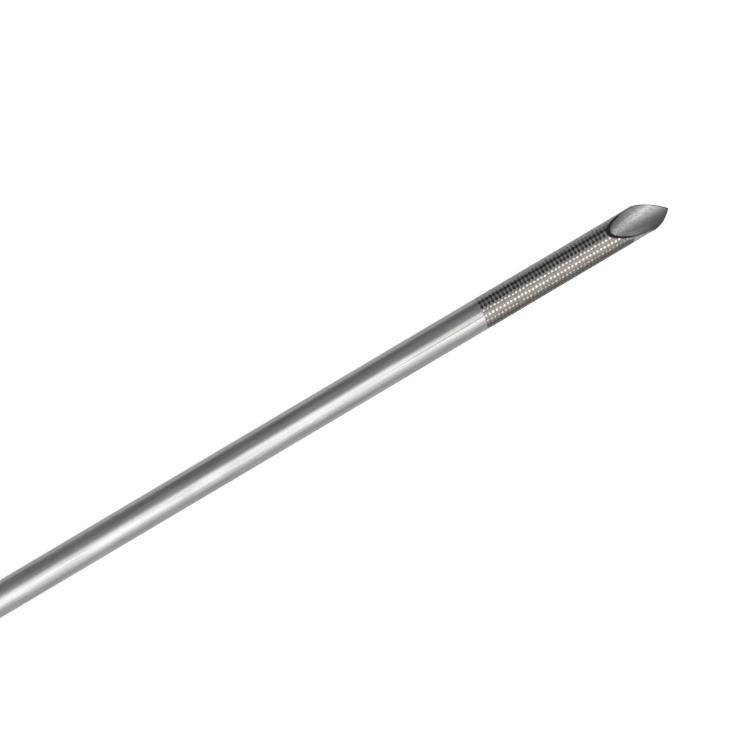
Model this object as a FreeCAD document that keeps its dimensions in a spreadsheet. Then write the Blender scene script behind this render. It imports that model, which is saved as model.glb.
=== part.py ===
import FreeCAD, Part
import os
import Sketcher

# Echogenic introducer needle, 18 gauge, with its stylet drawn back 12 mm so that the ground tip
# shows an open lumen. Millimetres. +X runs along the needle to its tip, +Z is up and the bevel
# faces up, the origin is the middle of the hub's flat underside.

# Driving sizes
SIZES = {
    # Cannula and its ground tip
    "tube_od": 1.27,
    "tube_wall": 0.075,
    "needle_reach": 70.0,
    "cannula_seat": 17.0,
    "bevel_angle": 20.0,
    "lancet_angle": 35.5,
    "lancet_turn": 35.5,
    "lancet_loss": 0.62,
    # Hub
    "axis_height": 5.5,
    "block_length": 15.0,
    "block_width": 9.0,
    "block_top": 3.9,
    "block_round": 0.8,
    "barrel_length": 9.5,
    "barrel_od": 6.7,
    "luer_mouth": 4.3,
    "luer_taper": 0.06,
    "socket_depth": 9.0,
    "funnel_length": 3.0,
    "channel_clearance": 0.04,
    "lug_span": 7.8,
    "lug_thickness": 1.3,
    "lug_angle": 52.0,
    "key_width": 1.2,
    "key_depth": 2.2,
    "nose_length": 11.5,
    "nose_land": 1.8,
    "nose_base_od": 6.2,
    "nose_tip_od": 3.4,
    "well_od": 2.2,
    "well_depth": 3.0,
    "bond_rise": 1.0,
    "bond_bead": 0.3,
    "bond_bead_od": 1.64,
    "bond_edge": 0.05,
    "rib_pitch": 1.5,
    "rib_count": 8,
    "rib_groove": 0.7,
    "rib_depth": 0.4,
    "rib_end": 1.6,
    "arrow_length": 5.0,
    "arrow_width": 3.6,
    "arrow_height": 0.4,
    "arrow_root": 0.4,
    # Stylet
    "stylet_withdrawn": 12.0,
    "stylet_clearance": 0.05,
    "luer_clearance": 0.05,
    "luer_entry": 6.0,
    "insert_gap": 1.3,
    "flange_od": 6.6,
    "flange_thickness": 1.0,
    "key_clearance": 0.1,
    "key_gap": 0.3,
    "key_height": 3.25,
    "neck_od": 5.2,
    "tail_od": 4.4,
    "tail_length": 9.7,
    "tail_flat": 0.5,
    "bond_well_od": 2.4,
    "bond_well_depth": 3.0,
    "rod_back": 0.6,
    "grip_length": 14.0,
    "grip_width": 9.4,
    "grip_drop": 4.2,
    "grip_top": 3.9,
    "grip_round": 1.2,
    "grip_end_gap": 0.3,
    "disc_od": 6.2,
    "disc_thickness": 1.0,
    "disc_crown": 0.3,
    "disc_flat_od": 4.1,
    # Locking collar
    "collar_od": 10.2,
    "collar_bore": 8.1,
    "collar_length": 9.2,
    "collar_web": 2.2,
    "collar_clearance": 0.12,
    "collar_play": 0.2,
    "collar_grooves": 14,
    "collar_groove_width": 0.9,
    "collar_groove_depth": 0.35,
    # Depth stop
    "stop_gap": 6.0,
    "stop_length": 6.4,
    "stop_od": 8.4,
    "stop_flange_od": 10.0,
    "stop_flange": 1.5,
    "stop_round": 0.4,
    "bush_od": 3.8,
    "bush_clearance": 0.3,
    "bush_lip": 0.5,
    "boss_od": 4.4,
    "boss_top": 6.3,
    "boss_back": 0.4,
    # Thumb screw
    "screw_od": 2.0,
    "screw_clearance": 0.05,
    "screw_tip_gap": 0.15,
    "screw_head_od": 5.6,
    "screw_head_height": 2.8,
    "screw_head_gap": 0.3,
    "screw_collar_od": 3.4,
    "screw_collar": 0.5,
    "screw_grooves": 16,
    "screw_groove_width": 0.45,
    "screw_groove_depth": 0.25,
}

doc = FreeCAD.newDocument("EchogenicNeedle")
sheet = doc.addObject("Spreadsheet::Sheet", "Sizes")
for row, (alias, value) in enumerate(SIZES.items(), start=1):
    sheet.set(f"A{row}", alias)
    sheet.set(f"B{row}", str(value))
    sheet.setAlias(f"B{row}", alias)
doc.recompute()

# Places along the needle's axis, as expressions on the sheet
BLOCK_FRONT = "(Sizes.block_length / 2)"
BLOCK_REAR = "(-Sizes.block_length / 2)"
MOUTH = f"({BLOCK_REAR} - Sizes.barrel_length)"
NOSE_FRONT = f"({BLOCK_FRONT} + Sizes.nose_length)"
TIP = f"({NOSE_FRONT} + Sizes.needle_reach)"
CANNULA_START = f"({NOSE_FRONT} - Sizes.cannula_seat)"
WELL_START = f"({NOSE_FRONT} - Sizes.well_depth)"
SOCKET_END = f"({MOUTH} + Sizes.socket_depth)"
FUNNEL_END = f"({SOCKET_END} + Sizes.funnel_length)"
INSERT_TIP = f"({MOUTH} + Sizes.luer_entry)"
FLANGE_FRONT = f"({MOUTH} - Sizes.insert_gap)"
FLANGE_REAR = f"({FLANGE_FRONT} - Sizes.flange_thickness)"
COLLAR_WEB_FRONT = f"({FLANGE_REAR} - Sizes.collar_play)"
COLLAR_REAR = f"({COLLAR_WEB_FRONT} - Sizes.collar_web)"
COLLAR_FRONT = f"({COLLAR_REAR} + Sizes.collar_length)"
GRIP_FRONT = f"({COLLAR_REAR} - Sizes.collar_play)"
GRIP_REAR = f"({GRIP_FRONT} - Sizes.grip_length)"
TAIL_END = f"({GRIP_FRONT} - Sizes.tail_length)"
ROD_END = f"({TAIL_END} + Sizes.rod_back)"
BOND_WELL = f"({TAIL_END} + Sizes.bond_well_depth)"
STOP_BACK = f"({NOSE_FRONT} + Sizes.stop_gap)"
STOP_FRONT = f"({STOP_BACK} + Sizes.stop_length)"
BOSS_CENTRE = f"({STOP_BACK} + Sizes.boss_back + Sizes.boss_od / 2)"

# Radii about the needle's axis
TUBE_R = "(Sizes.tube_od / 2)"
BORE_R = "(Sizes.tube_od / 2 - Sizes.tube_wall)"
CHANNEL_R = f"({BORE_R} + Sizes.channel_clearance)"
ROD_R = f"({BORE_R} - Sizes.stylet_clearance)"
BARREL_R = "(Sizes.barrel_od / 2)"
LUG_R = "(Sizes.lug_span / 2)"
MOUTH_R = "(Sizes.luer_mouth / 2)"
SOCKET_END_R = f"({MOUTH_R} - Sizes.socket_depth * Sizes.luer_taper / 2)"
WELL_R = "(Sizes.well_od / 2)"
INSERT_TIP_R = f"({MOUTH_R} - Sizes.luer_entry * Sizes.luer_taper / 2 - Sizes.luer_clearance)"
INSERT_BASE_R = f"({MOUTH_R} + Sizes.insert_gap * Sizes.luer_taper / 2 - Sizes.luer_clearance)"
NECK_R = "(Sizes.neck_od / 2)"
TAIL_R = "(Sizes.tail_od / 2)"
BUSH_R = "(Sizes.bush_od / 2)"
OVERSHOOT = 1.5


def origin_part(body, role):
    """The body's own origin plane or axis with this role."""
    return next(feature for feature in body.Origin.OriginFeatures if feature.Role == role)


def new_body(label):
    """A body whose X axis is the needle's axis, at its height over the hub's underside."""
    body = doc.addObject("PartDesign::Body", label)
    body.Label = label
    body.setExpression(".Placement.Base.z", "Sizes.axis_height")
    return body


def new_sketch(body, name, plane, offset=None, turn=None):
    """An empty sketch on one of the body's origin planes, moved along or turned about it."""
    sketch = body.newObject("Sketcher::SketchObject", name)
    sketch.AttachmentSupport = [(origin_part(body, plane), "")]
    sketch.MapMode = "FlatFace"
    if offset is not None:
        sketch.setExpression("AttachmentOffset.Base.z", offset)
    if turn is not None:
        sketch.AttachmentOffset = FreeCAD.Placement(
            FreeCAD.Vector(), FreeCAD.Rotation(FreeCAD.Vector(1, 0, 0), 1))
        sketch.setExpression("AttachmentOffset.Rotation.Angle", turn)
    return sketch


def pin_point(sketch, line, along, across):
    """Hold a line's first point at its two expressions from the sketch's origin."""
    for kind, text, axis in (("DistanceX", along, -2), ("DistanceY", across, -1)):
        if text == "0":
            sketch.addConstraint(Sketcher.Constraint("PointOnObject", line, 1, axis))
            continue
        value = float(sheet.evalExpression(text))
        number = sketch.addConstraint(Sketcher.Constraint(kind, -1, 1, line, 1, value))
        sketch.setExpression(f"Constraints[{number}]", text)


def draw_outline(sketch, points):
    """A closed outline of straight lines through points given as pairs of expressions."""
    places = [FreeCAD.Vector(float(sheet.evalExpression(along)), float(sheet.evalExpression(across)), 0)
              for along, across in points]
    first = sketch.GeometryCount
    count = len(points)
    for index in range(count):
        sketch.addGeometry(Part.LineSegment(places[index], places[(index + 1) % count]))
    for index in range(count):
        sketch.addConstraint(Sketcher.Constraint(
            "Coincident", first + index, 2, first + (index + 1) % count, 1))
    for index, (along, across) in enumerate(points):
        pin_point(sketch, first + index, along, across)
    return sketch


def draw_circle(sketch, along, across, radius):
    """A circle whose centre and radius are expressions."""
    values = [float(sheet.evalExpression(text)) for text in (along, across, radius)]
    number = sketch.addGeometry(Part.Circle(
        FreeCAD.Vector(values[0], values[1], 0), FreeCAD.Vector(0, 0, 1), values[2]))
    size = sketch.addConstraint(Sketcher.Constraint("Radius", number, values[2]))
    sketch.setExpression(f"Constraints[{size}]", radius)
    for kind, text, value, axis in (("DistanceX", along, values[0], -2),
                                    ("DistanceY", across, values[1], -1)):
        if text == "0":
            sketch.addConstraint(Sketcher.Constraint("PointOnObject", number, 3, axis))
            continue
        place = sketch.addConstraint(Sketcher.Constraint(kind, -1, 1, number, 3, value))
        sketch.setExpression(f"Constraints[{place}]", text)
    return sketch


def rectangle(along_low, along_high, across_low, across_high):
    """The four corners of a rectangle, as pairs of expressions."""
    return [(along_low, across_low), (along_high, across_low),
            (along_high, across_high), (along_low, across_high)]


def turned(body, name, points, kind="PartDesign::Revolution", sweep=None,
           axis="H_Axis", plane="XY_Plane"):
    """A solid or a cut turned about an axis of its own sketch, a full turn unless sweep is given."""
    sketch = draw_outline(new_sketch(body, name + "Profile", plane), points)
    feature = body.newObject(kind, name)
    feature.Profile = sketch
    feature.ReferenceAxis = (sketch, [axis])
    feature.Angle = 360
    if sweep is not None:
        feature.Midplane = True
        feature.setExpression("Angle", sweep)
    sketch.Visibility = False
    return feature


def padded(body, name, sketch, length, middle=False):
    """Material pushed out from a sketch by an expression's length."""
    pad = body.newObject("PartDesign::Pad", name)
    pad.Profile = sketch
    pad.Midplane = middle
    pad.setExpression("Length", length)
    return pad


def cut_through(body, name, sketch, middle=False, reverse=False):
    """Everything over a sketch cut away, both ways or along or against its normal."""
    pocket = body.newObject("PartDesign::Pocket", name)
    pocket.Profile = sketch
    pocket.Type = "ThroughAll"
    pocket.Midplane = middle
    pocket.Reversed = reverse
    return pocket


def around(body, name, feature, count, axis="X_Axis"):
    """A feature repeated evenly round one of the body's axes."""
    pattern = body.newObject("PartDesign::PolarPattern", name)
    pattern.Originals = [feature]
    pattern.Axis = (origin_part(body, axis), [""])
    pattern.Angle = 360
    pattern.setExpression("Occurrences", count)
    body.Tip = pattern
    return pattern


def rounded(body, name, base, radius):
    """Fillets on every edge of a feature."""
    doc.recompute()
    names = [f"Edge{index + 1}" for index in range(len(base.Shape.Edges))]
    fillet = body.newObject("PartDesign::Fillet", name)
    fillet.Base = (base, names)
    fillet.setExpression("Radius", radius)
    body.Tip = fillet
    return fillet


def grind_tip(body):
    """The long bevel and the two lancet grinds, each a plane through a point under the tip.

    A plane at angle a to the axis passes the tube's underside at its point, and all that lies
    in front of it goes. The lancet planes are the same cut turned about the axis each way, and
    both pass through the tip's lowest point.
    """
    low = f"(-{OVERSHOOT} * {TUBE_R})"
    high = f"({OVERSHOOT} * {TUBE_R})"
    bevel_foot = f"(-{TUBE_R})"
    lancet_foot = f"(-{TUBE_R} * cos(Sizes.lancet_turn * 1 deg))"
    bevel_end = f"{TIP} + Sizes.lancet_loss"
    grinds = (("Bevel", "Sizes.bevel_angle", None, bevel_end, bevel_foot),
              ("LancetLeft", "Sizes.lancet_angle", "Sizes.lancet_turn", TIP, lancet_foot),
              ("LancetRight", "Sizes.lancet_angle", "-Sizes.lancet_turn", TIP, lancet_foot))
    for name, angle, turn, along, below in grinds:
        slope = f"tan({angle} * 1 deg)"
        front = f"({along} + ({below} - {low}) / {slope})"
        back = f"({along} - ({high} - {below}) / {slope})"
        sketch = new_sketch(body, name + "Plane", "XZ_Plane", turn=turn)
        draw_outline(sketch, [(front, low), (front, high), (back, high)])
        cut_through(body, name, sketch, middle=True)


def make_cannula():
    body = new_body("cannula")
    turned(body, "Tube", rectangle(CANNULA_START, TIP, BORE_R, TUBE_R))
    grind_tip(body)
    return body


def cut_side_ribs(body, side, sign):
    """A row of short V grooves across one side of the grip block, clear of its rounded edges."""
    start = "(-(Sizes.rib_count - 1) * Sizes.rib_pitch / 2 - Sizes.rib_groove / 2)"
    face = "Sizes.block_width / 2"
    middle = "(Sizes.block_top - Sizes.axis_height) / 2"
    groove = new_sketch(body, f"RibGroove{side}", "XY_Plane", offset=middle)
    draw_outline(groove, [(start, f"{sign}({face} + Sizes.rib_depth)"),
                          (f"{start} + Sizes.rib_groove", f"{sign}({face} + Sizes.rib_depth)"),
                          (f"{start} + Sizes.rib_groove / 2", f"{sign}({face} - Sizes.rib_depth)")])
    cut = body.newObject("PartDesign::Pocket", f"RibCut{side}")
    cut.Profile = groove
    cut.Midplane = True
    cut.setExpression("Length", "Sizes.block_top + Sizes.axis_height - Sizes.rib_end * 2")
    row = body.newObject("PartDesign::LinearPattern", f"RibRow{side}")
    row.Originals = [cut]
    row.Direction = (origin_part(body, "X_Axis"), [""])
    row.setExpression("Length", "(Sizes.rib_count - 1) * Sizes.rib_pitch")
    row.setExpression("Occurrences", "Sizes.rib_count")
    body.Tip = row
    doc.recompute()


def make_hub():
    """Grip block, turned barrel and nose, lugs, key notch and the bore from socket to well."""
    body = new_body("hub")
    face = new_sketch(body, "BlockFace", "YZ_Plane")
    draw_outline(face, rectangle("-Sizes.block_width / 2", "Sizes.block_width / 2",
                                 "-Sizes.axis_height", "Sizes.block_top"))
    block = padded(body, "Block", face, "Sizes.block_length", middle=True)
    rounded(body, "BlockRounds", block, "Sizes.block_round")

    for side in ("Near", "Far"):
        cut_side_ribs(body, side, "-" if side == "Near" else "")
    turned(body, "BarrelAndNose", [
        (MOUTH, "0"),
        (MOUTH, BARREL_R),
        (BLOCK_FRONT, BARREL_R),
        (BLOCK_FRONT, "Sizes.nose_base_od / 2"),
        (f"{BLOCK_FRONT} + Sizes.nose_land", "Sizes.nose_base_od / 2"),
        (NOSE_FRONT, "Sizes.nose_tip_od / 2"),
        (NOSE_FRONT, "0")])
    lug = turned(body, "Lug", rectangle(MOUTH, f"{MOUTH} + Sizes.lug_thickness", MOUTH_R, LUG_R),
                 sweep="Sizes.lug_angle")
    around(body, "Lugs", lug, "2")
    doc.recompute()

    arrow = new_sketch(body, "ArrowOutline", "XY_Plane", offset="Sizes.block_top - Sizes.arrow_root")
    draw_outline(arrow, [("Sizes.arrow_length / 2", "0"),
                         ("-Sizes.arrow_length / 2", "Sizes.arrow_width / 2"),
                         ("-Sizes.arrow_length / 2", "-Sizes.arrow_width / 2")])
    padded(body, "Arrow", arrow, "Sizes.arrow_root + Sizes.arrow_height")

    notch = new_sketch(body, "KeyNotch", "XY_Plane")
    draw_outline(notch, rectangle(f"{MOUTH} - Sizes.key_depth", f"{MOUTH} + Sizes.key_depth",
                                  "-Sizes.key_width / 2", "Sizes.key_width / 2"))
    cut_through(body, "KeyNotchCut", notch, reverse=True)
    turned(body, "Bore", [
        (MOUTH, "0"),
        (MOUTH, MOUTH_R),
        (SOCKET_END, SOCKET_END_R),
        (FUNNEL_END, CHANNEL_R),
        (CANNULA_START, CHANNEL_R),
        (CANNULA_START, TUBE_R),
        (WELL_START, TUBE_R),
        (WELL_START, WELL_R),
        (NOSE_FRONT, WELL_R),
        (NOSE_FRONT, "0")], kind="PartDesign::Groove")
    return body


def make_cannula_bond():
    """Clear adhesive that fills the nose's well and climbs the tube in a small fillet."""
    body = new_body("cannula_bond")
    turned(body, "Fillet", [
        (WELL_START, TUBE_R),
        (WELL_START, WELL_R),
        (NOSE_FRONT, WELL_R),
        (f"{NOSE_FRONT} + Sizes.bond_bead", "Sizes.bond_bead_od / 2"),
        (f"{NOSE_FRONT} + Sizes.bond_rise", f"{TUBE_R} + Sizes.bond_edge"),
        (f"{NOSE_FRONT} + Sizes.bond_rise", TUBE_R)])
    return body


def withdraw(body):
    """Shift a piece of the stylet back from its seated place."""
    body.setExpression(".Placement.Base.x", "-Sizes.stylet_withdrawn")
    return body


def make_stylet_rod():
    """Solid wire ground with the cannula, so its end is flush with the bevel when it is home."""
    body = withdraw(new_body("stylet_rod"))
    turned(body, "Wire", rectangle(ROD_END, TIP, "0", ROD_R))
    grind_tip(body)
    return body


def make_stylet_insert():
    """Male taper, flange with its key, neck for the collar and a flatted tail for the grip."""
    body = withdraw(new_body("stylet_insert"))
    turned(body, "Outside", [
        (INSERT_TIP, "0"),
        (INSERT_TIP, INSERT_TIP_R),
        (FLANGE_FRONT, INSERT_BASE_R),
        (FLANGE_FRONT, "Sizes.flange_od / 2"),
        (FLANGE_REAR, "Sizes.flange_od / 2"),
        (FLANGE_REAR, NECK_R),
        (GRIP_FRONT, NECK_R),
        (GRIP_FRONT, TAIL_R),
        (TAIL_END, TAIL_R),
        (TAIL_END, "0")])
    key = new_sketch(body, "KeyFace", "XY_Plane", offset=MOUTH_R)
    half = "(Sizes.key_width / 2 - Sizes.key_clearance)"
    draw_outline(key, rectangle(FLANGE_FRONT, f"{MOUTH} + Sizes.key_depth - Sizes.key_gap",
                                f"-{half}", half))
    padded(body, "Key", key, f"Sizes.key_height - {MOUTH_R}")
    flat = new_sketch(body, "TailFlat", "XZ_Plane")
    draw_outline(flat, rectangle(f"{TAIL_END} - Sizes.tail_flat", GRIP_FRONT,
                                 f"{TAIL_R} - Sizes.tail_flat", f"{TAIL_R} + Sizes.tail_flat"))
    cut_through(body, "TailFlatCut", flat, middle=True)
    turned(body, "WireBore", [
        (INSERT_TIP, "0"),
        (INSERT_TIP, ROD_R),
        (BOND_WELL, ROD_R),
        (BOND_WELL, "Sizes.bond_well_od / 2"),
        (TAIL_END, "Sizes.bond_well_od / 2"),
        (TAIL_END, "0")], kind="PartDesign::Groove")
    return body


def make_stylet_bond():
    """Adhesive plug round the wire's end in the insert's rear well."""
    body = withdraw(new_body("stylet_bond"))
    turned(body, "Plug", [
        (BOND_WELL, ROD_R),
        (BOND_WELL, "Sizes.bond_well_od / 2"),
        (TAIL_END, "Sizes.bond_well_od / 2"),
        (TAIL_END, "0"),
        (ROD_END, "0"),
        (ROD_END, ROD_R)])
    return body


def make_stylet_grip():
    """Finger block pressed on the insert's tail, with waisted sides and a disc seat behind."""
    body = withdraw(new_body("stylet_grip"))
    face = new_sketch(body, "GripFace", "YZ_Plane", offset=GRIP_REAR)
    draw_outline(face, rectangle("-Sizes.grip_width / 2", "Sizes.grip_width / 2",
                                 "-Sizes.grip_drop", "Sizes.grip_top"))
    block = padded(body, "Grip", face, "Sizes.grip_length")
    rounded(body, "GripRounds", block, "Sizes.grip_round")
    arrow = new_sketch(body, "GripArrowOutline", "XY_Plane", offset="Sizes.grip_top - Sizes.arrow_root")
    middle = f"(({GRIP_FRONT} + {GRIP_REAR}) / 2)"
    draw_outline(arrow, [(f"{middle} + Sizes.arrow_length / 2", "0"),
                         (f"{middle} - Sizes.arrow_length / 2", "Sizes.arrow_width / 2"),
                         (f"{middle} - Sizes.arrow_length / 2", "-Sizes.arrow_width / 2")])
    padded(body, "GripArrow", arrow, "Sizes.arrow_root + Sizes.arrow_height")
    turned(body, "TailBore", rectangle(f"{TAIL_END} - Sizes.grip_end_gap", GRIP_FRONT, "0", TAIL_R),
           kind="PartDesign::Groove")
    turned(body, "DiscSeat", rectangle(GRIP_REAR, f"{GRIP_REAR} + Sizes.disc_thickness",
                                       "0", "Sizes.disc_od / 2"), kind="PartDesign::Groove")
    return body


def make_gauge_disc():
    """Coloured disc in the grip's rear face that tells the gauge."""
    body = withdraw(new_body("gauge_disc"))
    turned(body, "Disc", [
        (f"{GRIP_REAR} + Sizes.disc_thickness", "0"),
        (f"{GRIP_REAR} + Sizes.disc_thickness", "Sizes.disc_od / 2"),
        (GRIP_REAR, "Sizes.disc_od / 2"),
        (f"{GRIP_REAR} - Sizes.disc_crown", "Sizes.disc_flat_od / 2"),
        (f"{GRIP_REAR} - Sizes.disc_crown", "0")])
    return body


def make_lock_collar():
    """Free-turning collar that closes over the hub's lugs, with finger grooves round it."""
    body = withdraw(new_body("lock_collar"))
    turned(body, "Shell", [
        (COLLAR_REAR, f"{NECK_R} + Sizes.collar_clearance"),
        (COLLAR_REAR, "Sizes.collar_od / 2 - Sizes.collar_groove_depth"),
        (f"{COLLAR_REAR} + Sizes.collar_groove_depth", "Sizes.collar_od / 2"),
        (COLLAR_FRONT, "Sizes.collar_od / 2"),
        (COLLAR_FRONT, "Sizes.collar_bore / 2"),
        (COLLAR_WEB_FRONT, "Sizes.collar_bore / 2"),
        (COLLAR_WEB_FRONT, f"{NECK_R} + Sizes.collar_clearance")])
    behind = f"{COLLAR_REAR} - Sizes.collar_groove_depth"
    groove = new_sketch(body, "FingerGroove", "YZ_Plane", offset=behind)
    rim = "(Sizes.collar_od / 2)"
    half = "(Sizes.collar_groove_width / 2)"
    draw_outline(groove, [(f"-{half}", f"{rim} + Sizes.collar_groove_depth"),
                          (half, f"{rim} + Sizes.collar_groove_depth"),
                          (half, rim),
                          (f"{half} / 2", f"{rim} - Sizes.collar_groove_depth"),
                          (f"-{half} / 2", f"{rim} - Sizes.collar_groove_depth"),
                          (f"-{half}", rim)])
    cut = body.newObject("PartDesign::Pocket", "FingerGrooveCut")
    cut.Profile = groove
    cut.Reversed = True
    cut.setExpression("Length", "Sizes.collar_length - Sizes.collar_groove_depth * 2")
    around(body, "FingerGrooves", cut, "Sizes.collar_grooves")
    return body


def make_stop_body():
    """Ring with a skin flange towards the tip and a boss on top for the thumb screw."""
    body = new_body("stop_body")
    turned(body, "Ring", [
        (STOP_BACK, "0"),
        (STOP_BACK, "Sizes.stop_od / 2 - Sizes.stop_round"),
        (f"{STOP_BACK} + Sizes.stop_round", "Sizes.stop_od / 2"),
        (f"{STOP_FRONT} - Sizes.stop_flange", "Sizes.stop_od / 2"),
        (f"{STOP_FRONT} - Sizes.stop_flange", "Sizes.stop_flange_od / 2"),
        (f"{STOP_FRONT} - Sizes.stop_round", "Sizes.stop_flange_od / 2"),
        (STOP_FRONT, "Sizes.stop_flange_od / 2 - Sizes.stop_round"),
        (STOP_FRONT, "0")])
    boss = draw_circle(new_sketch(body, "BossOutline", "XY_Plane"), BOSS_CENTRE, "0", "Sizes.boss_od / 2")
    padded(body, "Boss", boss, "Sizes.boss_top")
    hole = draw_circle(new_sketch(body, "ScrewHole", "XY_Plane"), BOSS_CENTRE, "0",
                       "Sizes.screw_od / 2 + Sizes.screw_clearance")
    cut_through(body, "ScrewHoleCut", hole, reverse=True)
    turned(body, "BushSeat", [
        (STOP_BACK, "0"),
        (STOP_BACK, BUSH_R),
        (STOP_FRONT, BUSH_R),
        (STOP_FRONT, "0")], kind="PartDesign::Groove")
    return body


def make_stop_bush():
    """Soft sleeve, loose on the tube until the screw squeezes it, with a lip at the back of the ring."""
    body = new_body("stop_bush")
    turned(body, "Sleeve", [
        (f"{STOP_BACK} - Sizes.bush_lip", f"{TUBE_R} + Sizes.bush_clearance"),
        (f"{STOP_BACK} - Sizes.bush_lip", f"{BUSH_R} + Sizes.bush_lip / 2"),
        (STOP_BACK, f"{BUSH_R} + Sizes.bush_lip"),
        (STOP_BACK, BUSH_R),
        (STOP_FRONT, BUSH_R),
        (STOP_FRONT, f"{TUBE_R} + Sizes.bush_clearance")])
    return body


def make_stop_screw():
    """Knurled thumb screw across the ring, its tip just off the soft sleeve."""
    body = new_body("stop_screw")
    body.setExpression(".Placement.Base.x", BOSS_CENTRE)
    shank = "(Sizes.screw_od / 2)"
    head = "(Sizes.screw_head_od / 2)"
    foot = f"({BUSH_R} + Sizes.screw_tip_gap)"
    under = "(Sizes.boss_top + Sizes.screw_head_gap)"
    knob = f"({under} + Sizes.screw_collar)"
    top = f"({knob} + Sizes.screw_head_height)"
    edge = "Sizes.screw_groove_depth"
    turned(body, "Screw", [
        ("0", foot),
        (f"{shank} - {edge}", foot),
        (shank, f"{foot} + {edge}"),
        (shank, under),
        ("Sizes.screw_collar_od / 2", under),
        ("Sizes.screw_collar_od / 2", knob),
        (head, knob),
        (head, f"{top} - {edge}"),
        (f"{head} - {edge}", top),
        ("0", top)], axis="V_Axis", plane="XZ_Plane")
    groove = new_sketch(body, "Knurl", "XY_Plane", offset=knob)
    flare = "Sizes.screw_groove_width"
    draw_outline(groove, [(f"{head} + {edge}", f"-{flare}"),
                          (f"{head} + {edge}", flare),
                          (f"{head} - {edge}", "0")])
    cut_through(body, "KnurlCut", groove, reverse=True)
    around(body, "Knurls", body.getObject("KnurlCut"), "Sizes.screw_grooves", axis="Z_Axis")
    return body


NODES = [
    make_cannula(), make_hub(), make_cannula_bond(),
    make_stylet_rod(), make_stylet_insert(), make_stylet_bond(), make_stylet_grip(), make_gauge_disc(),
    make_lock_collar(),
    make_stop_body(), make_stop_bush(), make_stop_screw(),
]
doc.recompute()

# Every object has to be sound before anything is written
for item in doc.Objects:
    if "Invalid" in item.State or "Error" in item.State:
        raise RuntimeError(f"{item.Label} failed: {item.State}")
for node in NODES:
    if node.Shape.isNull() or not node.Shape.isValid() or len(node.Shape.Solids) != 1:
        raise RuntimeError(f"{node.Label} is not one sound solid")

os.makedirs("parts", exist_ok=True)
for node in NODES:
    node.Shape.exportStep(f"parts/{node.Label}.step")
    box = node.Shape.BoundBox
    print(f"{node.Label:14s} {node.Shape.Volume:9.3f} mm3  x {box.XMin:7.2f} {box.XMax:7.2f}  "
          f"y {box.YMin:6.2f} {box.YMax:6.2f}  z {box.ZMin:6.2f} {box.ZMax:6.2f}")
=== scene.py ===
"""Looks of the echogenic needle: steel tube with its dimple band, moulded hub, stylet and depth stop."""

import math

import bmesh
import bpy
import numpy as np
from bpy.props import FloatProperty, FloatVectorProperty, IntProperty, PointerProperty
from mathutils import Matrix, Vector


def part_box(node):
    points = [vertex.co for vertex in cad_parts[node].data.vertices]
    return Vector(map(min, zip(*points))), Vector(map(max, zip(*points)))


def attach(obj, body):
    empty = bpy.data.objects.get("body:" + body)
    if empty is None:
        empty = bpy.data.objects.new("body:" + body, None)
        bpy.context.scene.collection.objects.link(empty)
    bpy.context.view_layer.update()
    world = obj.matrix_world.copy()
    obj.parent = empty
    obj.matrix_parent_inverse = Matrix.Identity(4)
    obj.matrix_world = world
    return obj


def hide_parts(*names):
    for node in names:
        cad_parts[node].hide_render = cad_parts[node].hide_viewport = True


bl_info = {
    "name": "Echogenic needle looks",
    "version": (1, 0, 0),
    "blender": (4, 5, 0),
    "location": "View3D > Sidebar > Needle",
    "description": "Builds the finish of an echogenic needle round its packed model",
    "category": "Object",
}

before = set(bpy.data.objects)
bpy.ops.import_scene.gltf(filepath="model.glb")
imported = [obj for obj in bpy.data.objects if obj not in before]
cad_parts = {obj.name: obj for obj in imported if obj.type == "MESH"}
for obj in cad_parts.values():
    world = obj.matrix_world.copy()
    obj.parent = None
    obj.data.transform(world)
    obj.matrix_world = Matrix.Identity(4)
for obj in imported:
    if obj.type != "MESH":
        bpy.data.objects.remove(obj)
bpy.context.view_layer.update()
TUBE_LOW, TUBE_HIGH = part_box("cannula")
MM = 0.001
AXIS_Z = (TUBE_LOW.z + TUBE_HIGH.z) / 2
WHITE = (1.0, 1.0, 1.0)

# The photograph's view and the floor
PHOTO_SIDE = 730.0
SENSOR_MM = 36.0
CLIP_START = 0.01
CLIP_END = 100.0
FLOOR_HALF = 12.0
FLOOR_COLOR = (0.66, 0.66, 0.66)
FLOOR_IN_STEEL = 0.2

# The tube's mesh: cells to a dimple, rows of points by part, and places of the rim's rows in the wall
CELLS_ACROSS_DIMPLE = 10
CELLS_ALONG_DIMPLE = 9
SHAFT_ROWS = 9
POINT_ROWS = 26
MOUTH_ROWS = 60
BORE_ROWS = 5
OPEN_LENGTH = 4 * MM
RIM_SHARES = (0.08, 0.36, 0.64, 0.92)
MERGE_DISTANCE = 0.0001 * MM
SHARP_ANGLE = 42.0

# Chance in the dimples: how far they wander in their cell, and their depth's spread, drawn for
# this many rings and then used again
DIMPLE_SEED = 18
RINGS_DRAWN = 64
DIMPLE_WANDER = 0.035
DEPTH_SPREAD = 0.16

# The power that rounds off a dimple's edge
BOWL_POWER = 1.2

# Ranges of a noise, or of a value that the tube's mesh carries, over which a tone changes
WARM_STREAKS = (0.41, 0.59)
MOTTLE = (0.3, 0.7)
SPECKS = (0.35, 0.65)
LANE = (0.35, 0.95)
BETWEEN = (0.2, 0.8)
DIMPLE_RIM = (-0.05, 0.2)
DIMPLE_BOWL = (0.3, 0.6)
LAND_EDGE = (0.1, 0.5)

# How far one tone of the band, painted light or painted shade, goes into another
WALL_SHADE = 0.45
NEAR_PIT_SHADE = 0.8
FAR_PIT_SHADE = 0.75
WEB_WARMTH = 0.85

PLASTIC_IOR = 1.5
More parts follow.
